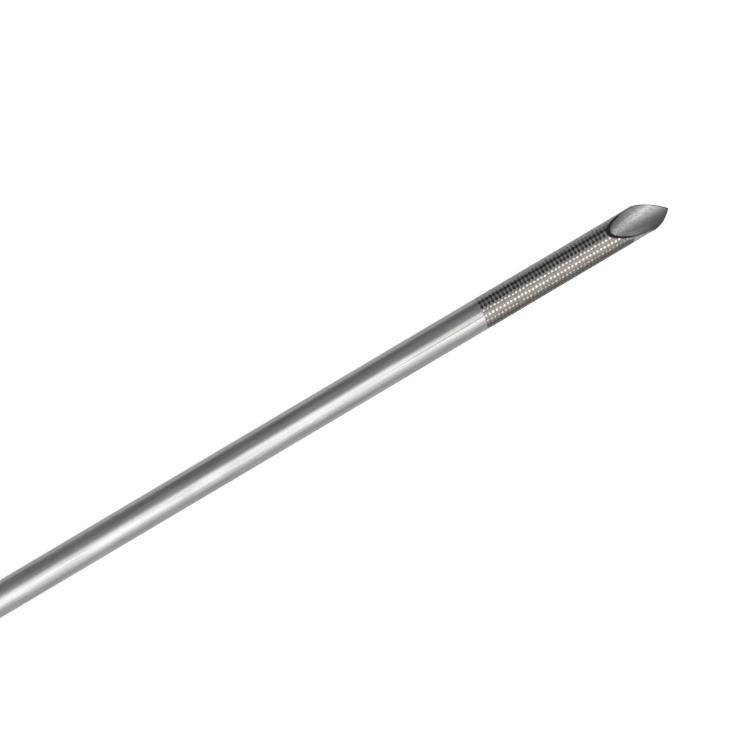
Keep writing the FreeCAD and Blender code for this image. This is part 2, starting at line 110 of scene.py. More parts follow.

# Bands of angle round the needle, in degrees from straight up towards -Y, over which a tone changes
# FAR_SIDE to NEAR_SIDE place the band's painted light and shade: the far side painted lighter, the first rows
# and the near side in painted shade, and the light rows' pits painted bright as highlights
FAR_SIDE = (-38.0, -31.0)
FIRST_ROW_END = (-14.0, -8.0)
HIGHLIT_ROWS = (2.5, 7.5)
NEAR_SIDE = (58.0, 69.0)
DULL_STREAK = 20.0
DULL_HALF_WIDTH = 9.0
DRAW_LINE = 26.5
DRAW_LINE_HALF_WIDTH = 3.0

# The same for the inner wall, in degrees from straight down towards -Y
LUMEN_SHADE = (-60.0, -12.0)

# The studio's light: bands of degrees from straight up towards -Y, the soft box's ends as shares
# of a direction's length along X, and the strengths
NEAR_GLOW = (-65.0, 85.0)
FAR_GLOW = (-98.0, -68.0)
BOX_UPPER_EDGE = (-7.0, 24.0)
BOX_LOWER_EDGE = (44.0, 89.0)
BOX_CENTRE_X = 0.1
BOX_END = (0.35, 0.6)
CEILING_LIGHT = 0.25
NEAR_LIGHT = 0.76
FAR_LIGHT = 0.38
BOX_LIGHT = 1.2
CEILING_COLOR = (0.96, 0.977, 1.0)

# Bands of distance behind the tip, in millimetres, over which a tone changes
STREAKS_START = (15.0, 9.5)
POLISHED_END = (30.0, 6.0)
# LUMEN_POINT: the inner wall's painted shade deepens towards the tip; LUMEN_OPEN: its painted shade starts
# where the tube opens
LUMEN_POINT = (2.2, 0.4)
LUMEN_HEEL = (2.5, 1.4)
LUMEN_OPEN = (3.5, 3.2)
# HEEL_END and LANCET_START: the ground rim's painted shade lightens between them
HEEL_END = (2.15, 1.8)
LANCET_START = (1.3, 0.9)


class Tint:
    """A shader socket whose arithmetic adds Math nodes, so that shader maths reads as maths."""

    def __init__(self, recipe, socket):
        self.recipe = recipe
        self.socket = socket

    def math(self, operation, *others, clamp=False):
        settings = {"operation": operation, "use_clamp": clamp}
        return self.recipe.node("ShaderNodeMath", settings, {0: self, **dict(enumerate(others, 1))})

    def __add__(self, other):
        return self.math("ADD", other)

    def __radd__(self, other):
        return self.math("ADD", other)

    def __sub__(self, other):
        return self.math("SUBTRACT", other)

    def __rsub__(self, other):
        return self.recipe.node("ShaderNodeMath", {"operation": "SUBTRACT"}, {0: other, 1: self})

    def __mul__(self, other):
        return self.math("MULTIPLY", other)

    def __rmul__(self, other):
        return self.math("MULTIPLY", other)

    def clamped(self):
        """The same number, kept from 0 to 1."""
        return self.math("ADD", 0.0, clamp=True)

    def ramp(self, low, high):
        """0 below low, 1 above high and a smooth step between."""
        return self.recipe.node("ShaderNodeMapRange", {"interpolation_type": "SMOOTHSTEP"},
                                {"Value": self, "From Min": low, "From Max": high})

    def past(self, band):
        """For an angle in radians: a smooth step over a band of degrees."""
        return self.ramp(math.radians(band[0]), math.radians(band[1]))

    def near(self, centre, half_width):
        """For an angle in radians: 1 at a centre in degrees, down to 0 at a half width from it."""
        return 1.0 - (self - math.radians(centre)).math("ABSOLUTE").past((0.0, half_width))

    def towards_tip(self, band):
        """For a place along X: a smooth step over a band of distances behind the tip."""
        return self.ramp(TUBE_HIGH.x - band[0] * MM, TUBE_HIGH.x - band[1] * MM)


class Recipe:
    """The node tree of one material or of the world, emptied and built up by name."""

    def __init__(self, owner):
        owner.use_nodes = True
        self.tree = owner.node_tree
        self.tree.nodes.clear()

    def node(self, kind, settings=None, inputs=None, output=0):
        """Adds a node, sets it up, then gives its sockets values or links. Returns one output."""
        made = self.tree.nodes.new(kind)
        for name, value in (settings or {}).items():
            setattr(made, name, value)
        for name, value in (inputs or {}).items():
            if isinstance(value, Tint):
                self.tree.links.new(value.socket, made.inputs[name])
            else:
                made.inputs[name].default_value = value
        return Tint(self, made.outputs[output])

    def place(self, scale=(1.0, 1.0, 1.0), centre=(0.0, 0.0, 0.0)):
        """Object coordinates, moved so that centre is the origin and then scaled."""
        point = self.node("ShaderNodeTexCoord", output="Object")
        moved = self.node("ShaderNodeVectorMath", {"operation": "SUBTRACT"}, {0: point, 1: centre})
        return self.node("ShaderNodeVectorMath", {"operation": "MULTIPLY"}, {0: moved, 1: scale})

    def split(self, vector, axis):
        """One of the three numbers of a vector."""
        parts = self.node("ShaderNodeSeparateXYZ", {}, {0: vector})
        return Tint(self, parts.socket.node.outputs[axis])

    def turn(self, point, start=1.0):
        """Angle of a vector about X towards -Y, from straight up, or from straight down with start -1."""
        return (self.split(point, "Y") * -1.0).math("ARCTAN2", self.split(point, "Z") * start)

    def round_axis(self, start=1.0):
        """Angle round the needle's axis, as turn gives it."""
        return self.turn(self.place(centre=(0.0, 0.0, AXIS_Z)), start)

    def along(self):
        """Place along the needle."""
        return self.split(self.place(), "X")

    def attribute(self, name):
        """A number that the mesh carries at its points."""
        made = self.node("ShaderNodeAttribute", {"attribute_name": name})
        return Tint(self, made.socket.node.outputs["Fac"])

    def noise(self, cells, detail=2.0, along=1.0, across=1.0):
        """Noise from 0 to 1 with this many cells to a metre, times along on X and across on Y and Z."""
        return self.node("ShaderNodeTexNoise", {}, {
            "Vector": self.place(scale=(along, across, across)), "Scale": cells, "Detail": detail})

    def mix(self, factor, first, second):
        """One colour turned into another by a factor: the Mix node's sockets 0, 6 and 7, and output 2."""
        made = self.tree.nodes.new("ShaderNodeMix")
        made.data_type = "RGBA"
        for name, value in ((0, factor), (6, first), (7, second)):
            if isinstance(value, Tint):
                self.tree.links.new(value.socket, made.inputs[name])
            elif name == 0:
                made.inputs[name].default_value = value
            else:
                made.inputs[name].default_value = (*value, 1.0)
        return Tint(self, made.outputs[2])

    def bump(self, height, distance):
        """A normal from a height of 0 to 1 that stands for this distance."""
        return self.node("ShaderNodeBump", {}, {"Height": height, "Distance": distance})

    def surface(self, **sockets):
        """A Principled surface on the output. Socket names have _ for a space."""
        values = {name.replace("_", " "): value for name, value in sockets.items()}
        for name, value in values.items():
            if name.endswith("Color") and not isinstance(value, Tint):
                values[name] = (*value, 1.0)
        shader = self.node("ShaderNodeBsdfPrincipled", {}, values)
        self.output(shader)

    def output(self, shader, kind="ShaderNodeOutputMaterial"):
        """Links a shader to the tree's output."""
        made = self.tree.nodes.new(kind)
        self.tree.links.new(shader.socket, made.inputs["Surface"])


def new_material(name):
    """A new material and the recipe that fills it."""
    material = bpy.data.materials.new(name)
    return material, Recipe(material)


def plain_tone(recipe, settings, turn, along, fine, streak, grain):
    """Tone of the plain tube: warmer streaks and, near the band, a dull streak with a dark draw line."""
    patch = recipe.noise(cells=4200.0, along=0.12)
    warmth = (streak * 0.25 + patch * 0.35 + fine * 0.15 + grain * 0.25).ramp(*WARM_STREAKS)
    tone = recipe.mix(warmth, settings.steel_color, settings.steel_warm)
    near_band = along.towards_tip(STREAKS_START)
    dull = turn.near(DULL_STREAK, DULL_HALF_WIDTH) * near_band * (0.3 + grain * 0.4)
    tone = recipe.mix(dull, tone, settings.land_color)
    draw_line = turn.near(DRAW_LINE, DRAW_LINE_HALF_WIDTH) * near_band * (0.5 + grain * 0.8)
    return recipe.mix(draw_line, tone, settings.land_shade)


def stamped_tone(recipe, settings, turn, dimple):
    """Tone of the dimple band, by the angle round the tube, with painted light and shade.

    From the far side to the near one: warm lands painted lighter with dim pits, then two dark rows of
    painted shade with paler webs between them, then dull lands with dark walls of painted shade and
    pits painted bright as highlights, and last lands in painted shade with pits that are almost as dull.
    """
    lane = recipe.attribute("lane").ramp(*LANE)
    between = recipe.attribute("between").ramp(*BETWEEN)
    mottle = recipe.noise(cells=14000.0).ramp(*MOTTLE)
    # Masks of painted light and shade by the angle round the tube: the far side and the light rows painted
    # lighter, the first rows and the near side in painted shade
    far_side = 1.0 - turn.past(FAR_SIDE)
    first_row = 1.0 - turn.past(FIRST_ROW_END)
    highlit_rows = turn.past(HIGHLIT_ROWS)
    near_side = turn.past(NEAR_SIDE)
    lit = (highlit_rows + far_side).clamped()

    land = recipe.mix(near_side, settings.land_color, settings.land_shade)
    land = recipe.mix(mottle * (0.3 + near_side * 0.3), land, settings.dimple_shade)
    land = recipe.mix(far_side, land, settings.steel_warm)
    wall = recipe.mix(lit, settings.dimple_shade, land)
    wall = recipe.mix(highlit_rows * WALL_SHADE, wall, settings.dimple_shade)
    # Pits: painted highlights in the light rows, painted shade on the far side and the dark rows, dulled by
    # painted shade on the near side
    pit = recipe.mix(lit, settings.dimple_shade, settings.dimple_highlight)
    pit = recipe.mix(near_side * NEAR_PIT_SHADE, pit, land)
    pit = recipe.mix(far_side * FAR_PIT_SHADE, pit, settings.dimple_shade)
    web = recipe.mix(between * WEB_WARMTH, settings.land_shade, settings.steel_warm)
    web = recipe.mix(first_row * lane * (0.6 + mottle * 0.4), web, settings.dimple_shade)
    # Painted shade: dark spots on the lands between the light rows' dimples
    shade_spots = lit * between * (1.0 - lane) * (0.15 + mottle * 0.4)
    flat = recipe.mix(1.0 - lit, recipe.mix(shade_spots, land, settings.dimple_shade), web)
    tone = recipe.mix(dimple.ramp(*DIMPLE_RIM), flat, wall)
    return recipe.mix(dimple.ramp(*DIMPLE_BOWL), tone, pit)


def drawn_steel(settings):
    """Tube steel: fine draw lines along X, slow streaks of tone, dulled lands between dimples, and painted
    light and shade on the band.

    The mesh carries dimple, 0 on the plain tube and 1 at the middle of a dimple, lane, 1 along the
    middle of a row, between, 1 midway from a dimple to the next of its row, and band, 1 where the
    tube is stamped. The lands are rougher than the rest, and the tube is smoother towards its tip.
    """
    material, recipe = new_material("drawn_steel")
    fine = recipe.noise(cells=30000.0, detail=3.0, along=0.02)
    streak = recipe.noise(cells=7000.0, detail=1.0, along=0.012)
    grain = recipe.noise(cells=22000.0)
    turn = recipe.round_axis()
    along = recipe.along()
    band = recipe.attribute("band")
    dimple = recipe.attribute("dimple")
    plain = plain_tone(recipe, settings, turn, along, fine, streak, grain)
    tone = recipe.mix(band, plain, stamped_tone(recipe, settings, turn, dimple))
    land = band * (1.0 - dimple.ramp(*LAND_EDGE))
    wear = streak * 0.08 + fine * 0.06 + grain * 0.05 + land * 0.3
    polish = along.towards_tip(POLISHED_END) * 0.11
    recipe.surface(
        Base_Color=tone, Metallic=1.0, Roughness=settings.tube_roughness - polish + wear,
        Normal=recipe.bump(fine * 0.5 + streak * 0.3 + grain * 0.2, 0.003 * MM))
    return material


def lumen_steel(settings):
    """Inner wall of the tube: rough and grainy, with painted light on the far side and painted shade on the
    near one.

    It is a little smoother at the bevel's heel, its painted shade deepens towards the tip, and it is
    pale, without painted shade, where the tube is closed.
    """
    material, recipe = new_material("lumen_steel")
    grain = recipe.noise(cells=16000.0, detail=3.0)
    lines = recipe.noise(cells=14000.0, along=0.05)
    turn = recipe.round_axis(start=-1.0)
    along = recipe.along()
    point = along.towards_tip(LUMEN_POINT)
    heel = 1.0 - along.towards_tip(LUMEN_HEEL)
    open_part = along.towards_tip(LUMEN_OPEN)
    specks = (grain.ramp(*SPECKS) - 0.5) * 0.4
    # Painted shade of the near side where the tube is open, deepening towards the tip; the specks are grain
    shade = turn.past(LUMEN_SHADE) * open_part + point * 0.22 + specks
    tone = recipe.mix(shade.clamped(), settings.lumen_lit, settings.lumen_painted_shade)
    recipe.surface(
        Base_Color=tone, Metallic=1.0, Roughness=settings.lumen_roughness - heel * 0.12 + grain * 0.14,
        Normal=recipe.bump(grain * 0.7 + lines * 0.3, 0.02 * MM))
    return material


def ground_steel(settings):
    """Ground rim of the bevel: near black in painted shade at the heel and the lancet, lighter between, with
    wheel marks.
    """
    material, recipe = new_material("ground_steel")
    marks = recipe.noise(cells=30000.0, detail=3.0, across=0.08)
    along = recipe.along()
    # The rim's painted shade lightens between the heel and the lancet; the marks are wheel marks
    sides = along.towards_tip(HEEL_END) * (1.0 - along.towards_tip(LANCET_START) * 0.8)
    share = marks * (0.15 + sides * 0.35) + sides * 0.5
    tone = recipe.mix(share.clamped(), settings.ground_shade, settings.ground_light)
    recipe.surface(
        Base_Color=tone, Metallic=1.0, Roughness=settings.ground_roughness + marks * 0.15,
        Normal=recipe.bump(marks, 0.004 * MM))
    return material


def wire_steel(settings):
    """Stylet wire and screw: bright drawn metal with fine lines."""
    material, recipe = new_material("wire_steel")
    lines = recipe.noise(cells=16000.0, detail=3.0, along=0.03)
    tone = recipe.mix(lines, settings.steel_color, settings.steel_pale)
    recipe.surface(
        Base_Color=tone, Metallic=1.0, Roughness=settings.wire_roughness + lines * 0.12,
        Normal=recipe.bump(lines, 0.002 * MM))
    return material


def moulded(name, color, shade, roughness, texture=0.0, soft=0.0):
    """Moulded plastic: slow drift of tone, faint flow marks and an optional spark-eroded grain.

    shade is what the colour is multiplied by where the drift is darkest.
    """
    material, recipe = new_material(name)
    drift = recipe.noise(cells=260.0)
    grain = recipe.noise(cells=7000.0)
    tone = recipe.mix(drift.ramp(*MOTTLE), color, [channel * shade for channel in color])
    recipe.surface(
        Base_Color=tone, Roughness=roughness + grain * (0.03 + texture * 0.1) + drift * 0.08,
        Subsurface_Weight=soft, Subsurface_Radius=(2.0 * MM, 1.5 * MM, 1.0 * MM), Subsurface_Scale=1.0,
        IOR=PLASTIC_IOR, Normal=recipe.bump(grain, 0.01 * MM * (0.03 + texture)))
    return material


def adhesive(settings):
    """Clear amber bead of cured adhesive."""
    material, recipe = new_material("cured_adhesive")
    drift = recipe.noise(cells=1500.0)
    tone = recipe.mix(drift, settings.bond_color, settings.bond_shade)
    recipe.surface(
        Base_Color=tone, Roughness=0.08 + drift * 0.06, Subsurface_Weight=0.4,
        Subsurface_Radius=(1.0 * MM, 1.0 * MM, 0.7 * MM),
        IOR=PLASTIC_IOR, Normal=recipe.bump(drift, 0.02 * MM))
    return material


def floor_white(strength):
    """Pale matt floor that keeps its shadows, white to the camera and a little lighter in the steel."""
    material, recipe = new_material("floor_white")
    camera, glossy, through = [recipe.node("ShaderNodeLightPath", output=f"Is {ray} Ray")
                               for ray in ("Camera", "Glossy", "Transmission")]
    glow = camera * strength + (glossy + through).clamped() * (strength * FLOOR_IN_STEEL)
    recipe.surface(
        Base_Color=FLOOR_COLOR, Roughness=0.9, Specular_IOR_Level=0.1,
        Emission_Color=WHITE, Emission_Strength=glow)
    return material


def studio_world(level):
    """A studio whose light depends on the angle round the needle's axis, from straight up towards -Y.

    A dark and slightly cool ceiling brightens slowly to the near side and a little to the far
    horizon, and a long soft box with blurred edges hangs over the near side. Its ends lie a fixed
    way out along the needle.
    """
    world = bpy.data.worlds.new("studio")
    bpy.context.scene.world = world
    recipe = Recipe(world)
    direction = recipe.node("ShaderNodeTexCoord", output="Generated")
    angle = recipe.turn(direction)
    near = angle.past(NEAR_GLOW)
    far = 1.0 - angle.past(FAR_GLOW)
    ends = 1.0 - (recipe.split(direction, "X") - BOX_CENTRE_X).math("ABSOLUTE").ramp(*BOX_END)
    box = angle.past(BOX_UPPER_EDGE) * (1.0 - angle.past(BOX_LOWER_EDGE)) * ends
    light = CEILING_LIGHT + near * NEAR_LIGHT + far * FAR_LIGHT + box * BOX_LIGHT
    hue = recipe.mix(near, CEILING_COLOR, WHITE)
    back = recipe.node("ShaderNodeBackground", {}, {"Color": hue, "Strength": light * level})
    recipe.output(back, "ShaderNodeOutputWorld")


def closed_grid(name, points, materials, rows_of, **values):
    """A mesh from a grid of points that closes on itself both ways.

    points has shape (rows, columns, 3). Each cell is a quad from a point to its next row and
    next column, both counted round, and rows_of gives each row of cells its material. values
    are grids of numbers, one for each point, which the mesh carries under their names.
    """
    rows, columns = points.shape[:2]
    index = np.arange(rows * columns).reshape(rows, columns)
    down = np.roll(index, -1, axis=0)
    quads = np.stack([index, np.roll(index, -1, axis=1), np.roll(down, -1, axis=1), down], axis=-1)
    mesh = bpy.data.meshes.new(name)
    mesh.from_pydata(points.reshape(-1, 3).tolist(), [], quads.reshape(-1, 4).tolist())
    for material in materials:
        mesh.materials.append(material)
    mesh.polygons.foreach_set("material_index", np.repeat(np.asarray(rows_of, np.int32), columns))
    for label, grid in values.items():
        layer = mesh.attributes.new(label, "FLOAT", "POINT")
        layer.data.foreach_set("value", grid.ravel().astype(np.float32))
    mesh.update()
    return mesh


def merge(mesh, distance):
    """Joins doubled points, takes away faces of no area and turns the normals outwards."""
    work = bmesh.new()
    work.from_mesh(mesh)
    bmesh.ops.remove_doubles(work, verts=work.verts, dist=distance)
    bmesh.ops.dissolve_degenerate(work, edges=work.edges, dist=distance)
    bmesh.ops.recalc_face_normals(work, faces=work.faces)
    work.to_mesh(mesh)
    work.free()
    mesh.update()


def smooth(mesh, angle):
    """Smooth shading with sharp edges over an angle in degrees."""
    mesh.polygons.foreach_set("use_smooth", np.ones(len(mesh.polygons), bool))
    mesh.set_sharp_from_angle(angle=math.radians(angle))


def add_piece(name, mesh, body, slot, *nodes):
    """Links a finished piece, lets it ride on its body and stands it in for its nodes."""
    piece = bpy.data.objects.new(name, mesh)
    bpy.context.scene.collection.objects.link(piece)
    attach(piece, body)
    if nodes:
        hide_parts(*nodes)


def dress(node, material):
    """Gives a CAD node its material."""
    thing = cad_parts[node]
    thing.data.materials.clear()
    thing.data.materials.append(material)


class NeedleTube(bpy.types.PropertyGroup):
    """Sizes of the tube's ground tip and dimple band."""

    wall: FloatProperty(name="Wall", description="Thickness of the tube's wall",
                        default=0.068 * MM, unit="LENGTH", precision=6)
    bevel_angle: FloatProperty(name="Bevel angle", description="Angle of the long bevel to the axis",
                               default=math.radians(20.0), subtype="ANGLE")
    lancet_angle: FloatProperty(name="Lancet angle", description="Angle of the two side grinds to the axis",
                                default=math.radians(35.5), subtype="ANGLE")
    lancet_turn: FloatProperty(name="Lancet turn", description="Turn of each side grind about the axis",
                               default=math.radians(35.5), subtype="ANGLE")
    lancet_loss: FloatProperty(name="Lancet loss", description="Length that the side grinds take off the tip",
                               default=0.66 * MM, unit="LENGTH", precision=6)
    band_gap: FloatProperty(name="Band gap", description="Plain length from the band to the tip",
                            default=2.05 * MM, unit="LENGTH", precision=6)
    band_length: FloatProperty(name="Band length", description="Length of the dimple band",
                               default=6.55 * MM, unit="LENGTH", precision=6)
    pitch: FloatProperty(name="Pitch", description="Distance from one dimple to the next along the tube",
                         default=0.1632 * MM, unit="LENGTH", precision=6)
    rows: IntProperty(name="Rows", description="Rows of dimples round the tube", default=20, min=6)
    starts: IntProperty(name="Starts", description="Pitches that the rings climb in one turn", default=2)
    twist: FloatProperty(name="Twist", description="Turn of the rows over one pitch",
                         default=math.radians(0.17), subtype="ANGLE")
    row_turn: FloatProperty(name="Row turn", description="Turn of the rows where the band starts",
                            default=math.radians(12.1), subtype="ANGLE")
    dimple_width: FloatProperty(name="Dimple width", description="Diameter of one dimple",
                                default=0.135 * MM, unit="LENGTH", precision=6)
    dimple_depth: FloatProperty(name="Dimple depth", description="Depth of one dimple",
                                default=0.012 * MM, unit="LENGTH", precision=6)


class NeedleFinish(bpy.types.PropertyGroup):
    """Colours of the metals and plastics, and the metals' roughness."""

    steel_color: FloatVectorProperty(name="Steel", description="Tube steel",
                                     subtype="COLOR", default=(0.397, 0.388, 0.379))
    steel_warm: FloatVectorProperty(name="Warm steel", description="Warmer streaks of the tube",
                                    subtype="COLOR", default=(0.513, 0.494, 0.476))
    land_color: FloatVectorProperty(name="Lands", description="Metal between the dimples",
                                    subtype="COLOR", default=(0.34, 0.302, 0.27))
    land_shade: FloatVectorProperty(name="Shaded lands", description="Metal of the band's near side",
                                    subtype="COLOR", default=(0.185, 0.164, 0.147))
    # Painted highlight: the colour of the dimples' middles in the light rows, standing in for the soft box's
    # reflection
    dimple_highlight: FloatVectorProperty(name="Dimples", description="Burnished middles of the dimples",
                                      subtype="COLOR", default=(0.575, 0.56, 0.545))
    # Painted shade: the dark rows' dimples, the dark walls and spots, and the mottle of the lands
    dimple_shade: FloatVectorProperty(name="Dark dimples", description="Middles of the dark rows' dimples",
                                     subtype="COLOR", default=(0.075, 0.07, 0.062))
    # The inner wall's painted light on its far side and painted shade on its near side
    lumen_lit: FloatVectorProperty(name="Pale lumen", description="Far side of the inner wall",
                                    subtype="COLOR", default=(0.90, 0.90, 0.885))
    lumen_painted_shade: FloatVectorProperty(name="Dark lumen", description="Near side of the inner wall",
                                    subtype="COLOR", default=(0.30, 0.30, 0.293))
    steel_pale: FloatVectorProperty(name="Pale steel", description="Light lines of the wire and screw",
                                    subtype="COLOR", default=(0.64, 0.63, 0.615))
    # Painted shade: the near black of the ground rim
    ground_shade: FloatVectorProperty(name="Ground dark", description="Dark of the ground rim",
                                     subtype="COLOR", default=(0.03, 0.028, 0.026))
    ground_light: FloatVectorProperty(name="Ground light", description="Light of the ground rim",
                                      subtype="COLOR", default=(0.32, 0.31, 0.3))
    hub_color: FloatVectorProperty(name="Hub", description="Hub plastic",
                                   subtype="COLOR", default=(0.70, 0.76, 0.80))
    grip_color: FloatVectorProperty(name="Grip", description="Stylet grip plastic",
                                    subtype="COLOR", default=(0.56, 0.065, 0.18))
    collar_color: FloatVectorProperty(name="Collar", description="Collar and insert plastic",
                                      subtype="COLOR", default=(0.80, 0.79, 0.75))
    stop_color: FloatVectorProperty(name="Stop", description="Depth stop plastic",
                                    subtype="COLOR", default=(0.035, 0.11, 0.32))
    bush_color: FloatVectorProperty(name="Bush", description="Soft sleeve",
                                    subtype="COLOR", default=(0.72, 0.72, 0.69))
    bond_color: FloatVectorProperty(name="Adhesive", description="Cured adhesive",
                                    subtype="COLOR", default=(0.62, 0.54, 0.34))
    bond_shade: FloatVectorProperty(name="Shaded adhesive", description="Deeper parts of the adhesive",
                                    subtype="COLOR", default=(0.54, 0.46, 0.27))
    tube_roughness: FloatProperty(name="Tube roughness", description="Roughness of the tube's outside",
                                  default=0.15, min=0.0, max=1.0, subtype="FACTOR")
    lumen_roughness: FloatProperty(name="Lumen roughness", description="Roughness of the inner wall",
                                   default=0.4, min=0.0, max=1.0, subtype="FACTOR")
    ground_roughness: FloatProperty(name="Ground roughness", description="Roughness of the ground rim",
                                    default=0.3, min=0.0, max=1.0, subtype="FACTOR")
    wire_roughness: FloatProperty(name="Wire roughness", description="Roughness of the wire and screw",
                                  default=0.16, min=0.0, max=1.0, subtype="FACTOR")


class NeedleStudio(bpy.types.PropertyGroup):
    """View of the photograph and the level of the lights."""

    elevation: FloatProperty(name="Elevation", description="Camera's height over the level",
                             default=math.radians(72.0), subtype="ANGLE")
    heading: FloatProperty(name="Heading", description="Turn of the needle away from the picture's right",
                           default=math.radians(31.93), subtype="ANGLE")
    lens: FloatProperty(name="Lens", description="Focal length on a 36 mm sensor", default=800.0)
    width: FloatProperty(name="Width", description="Width of the view at the needle",
                         default=28.35 * MM, unit="LENGTH", precision=6)
    tip_pixel: FloatVectorProperty(name="Tip pixel", description="Place of the tip in the photograph",
                                   size=2, default=(668.2, 208.0))
    light_level: FloatProperty(name="Light level", description="Strength of the studio's light", default=1.0)
    floor_glow: FloatProperty(name="Floor glow", description="Light that the floor adds for the eye",
                              default=0.53)


def tube_reach(azimuth, radius, tip, outer, tube):
    """How far along X the wall reaches at an azimuth from +Z and a radius.

    Each grind is a plane at an angle a to the axis, turned by t about it, that passes the
    tube's lowest line: x = x0 - (r cos(azimuth - t) + R cos t) / tan a. The wall ends at the
    nearest of the three planes.
    """
    bevel = tip + tube.lancet_loss - (radius * np.cos(azimuth) + outer) / math.tan(tube.bevel_angle)
    reach = bevel
    for turn in (tube.lancet_turn, -tube.lancet_turn):
        drop = radius * np.cos(azimuth - turn) + outer * math.cos(turn)
        reach = np.minimum(reach, tip - drop / math.tan(tube.lancet_angle))
    return reach


def dimple_field(along, azimuth, start, outer, tube):
    """Values of points of the outer surface by name, such as the share of a dimple's depth.

    The band is a lattice of cells, one pitch long and one row wide, whose rings climb and whose
    rows twist a little. In each cell the share falls as 1 - (d/a)^2 from the centre to the
    dimple's edge at a, to a power that rounds it off there, and cells whose centre lies outside
    the band have none.
    """
    rng = np.random.default_rng(DIMPLE_SEED)
    turn = azimuth / (2 * math.pi)
    ring = (along - start) / tube.pitch - tube.starts * turn
    row = (azimuth + tube.row_turn + tube.twist * ring) * tube.rows / (2 * math.pi)
    ring_cell = np.floor(ring)
    row_cell = np.floor(row + 0.5)
    pick = (ring_cell.astype(int) % RINGS_DRAWN, row_cell.astype(int) % tube.rows)
    wander = rng.normal(0.0, DIMPLE_WANDER, (2, RINGS_DRAWN, tube.rows))
    deep = 1.0 + rng.normal(0.0, DEPTH_SPREAD, (RINGS_DRAWN, tube.rows))
    off_ring = (ring - ring_cell - 0.5 - wander[0][pick]) * tube.pitch
    off_row = (row - row_cell - wander[1][pick]) * outer * 2 * math.pi / tube.rows
    square = (off_ring ** 2 + off_row ** 2) / (tube.dimple_width / 2) ** 2
    bowl = np.clip(1.0 - square, 0.0, 1.0) ** BOWL_POWER
    centre = along - (ring - ring_cell - 0.5) * tube.pitch
    inside = (centre > start) & (centre < start + tube.band_length)
    return {"dimple": np.where(inside, bowl * deep[pick], 0.0), "band": inside * 1.0,
            "lane": 1.0 - 2.0 * np.abs(row - row_cell), "between": 2.0 * np.abs(ring - ring_cell - 0.5)}


def tube_surface(tube):
    """Grids of the whole tube, row by row: outside from the hub to the tip, rim, inside back.

    A row is a ring of points at one station. A station past the ground tip is pulled back to
    the rim at its own azimuth, so the rim comes out as one clean curve. The grids are points,
    the rows' kinds of metal, and the values that drawn_steel reads, by name.
    """
    outer = TUBE_HIGH.y
    inner = outer - tube.wall
    tip = TUBE_HIGH.x
    columns = tube.rows * CELLS_ACROSS_DIMPLE
    azimuth = np.arange(columns) * 2 * math.pi / columns - math.pi
    start = tip - tube.band_gap - tube.band_length
    band_start = start - tube.pitch
    band_end = start + tube.band_length + tube.pitch
    band_rows = int(round((band_end - band_start) / tube.pitch * CELLS_ALONG_DIMPLE))
    shaft = np.linspace(TUBE_LOW.x, band_start, SHAFT_ROWS)
    band = np.linspace(band_start, band_end, band_rows)[1:]
    point = np.linspace(band_end, tip, POINT_ROWS)[1:]
    outside = np.concatenate([shaft, band, point])
    mouth = np.linspace(tip, tip - OPEN_LENGTH, MOUTH_ROWS)
    inside = np.concatenate([mouth, np.linspace(tip - OPEN_LENGTH, TUBE_LOW.x, BORE_ROWS)[1:]])

    station, around = np.meshgrid(outside, azimuth, indexing="ij")
    along = np.minimum(station, tube_reach(around, outer, tip, outer, tube))
    values = dimple_field(along, around, start, outer, tube)
    radius = outer - values["dimple"] * tube.dimple_depth
    along = np.minimum(station, tube_reach(around, radius, tip, outer, tube))
    layers = [(along, radius)]
    edge = radius[-1]
    for share in RIM_SHARES:
        ring = edge + (inner - edge) * share
        layers.append((tube_reach(azimuth, ring, tip, outer, tube)[None], ring[None]))
    station, around = np.meshgrid(inside, azimuth, indexing="ij")
    layers.append((np.minimum(station, tube_reach(around, inner, tip, outer, tube)),
                   np.full_like(station, inner)))
    along = np.concatenate([layer[0] for layer in layers])
    radius = np.concatenate([layer[1] for layer in layers])
    points = np.stack([along, radius * np.sin(azimuth), AXIS_Z + radius * np.cos(azimuth)], axis=-1)
    rim_rows = len(RIM_SHARES) + 1
    kinds = [0] * (len(outside) - 1) + [1] * rim_rows + [2] * (len(inside) - 1) + [0]
    rest = np.zeros((len(points) - len(outside), len(azimuth)))
    return points, kinds, {name: np.concatenate([grid, rest]) for name, grid in values.items()}


class NEEDLE_OT_cannula(bpy.types.Operator):
    """Build the steel tube with its dimple band, ground tip and open lumen"""

    bl_idname = "needle.cannula"
    bl_label = "Cannula"

    def execute(self, context):
        finish = context.scene.needle_finish
        points, kinds, values = tube_surface(context.scene.needle_tube)
        finishes = [drawn_steel(finish), ground_steel(finish), lumen_steel(finish)]
        mesh = closed_grid("cannula_steel", points, finishes, kinds, **values)
        merge(mesh, MERGE_DISTANCE)
        smooth(mesh, SHARP_ANGLE)
        add_piece("cannula_steel", mesh, "needle", "tube_steel", "cannula")
        return {"FINISHED"}


class NEEDLE_OT_hub(bpy.types.Operator):
    """Finish the moulded hub and its adhesive"""

    bl_idname = "needle.hub"
    bl_label = "Hub"

    def execute(self, context):
        finish = context.scene.needle_finish
        dress("hub", moulded("hub_plastic", finish.hub_color, shade=0.93, roughness=0.14, soft=0.25))
        dress("cannula_bond", adhesive(finish))
        return {"FINISHED"}


